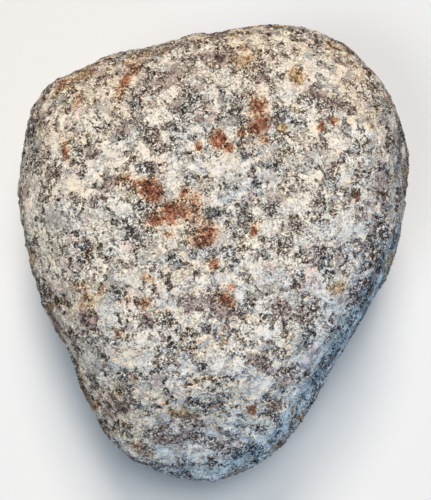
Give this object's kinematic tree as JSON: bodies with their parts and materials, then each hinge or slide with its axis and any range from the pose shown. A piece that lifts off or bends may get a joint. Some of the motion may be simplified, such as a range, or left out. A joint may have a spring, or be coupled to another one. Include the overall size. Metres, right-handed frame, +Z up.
{
  "type": "rough rock",
  "caption": "Natural hand-size granite cobble, broad and shouldered at one end and tapering to a blunt point, with worn faces and a flat place to rest on.",
  "frame": {"origin": "on the surface that the stone lies on, below the middle of its box", "axes": "+Y along the stone towards its broad end, +Z up out of the broad face, +X across to the right when looking down with the broad end away"},
  "size_m": [0.118, 0.1378, 0.0778],
  "materials": {
    "granite": "dry, rough, unpolished, speckled"
  },
  "bodies": {
    "root": {"rock": "granite"}
  },
  "joints": []
}
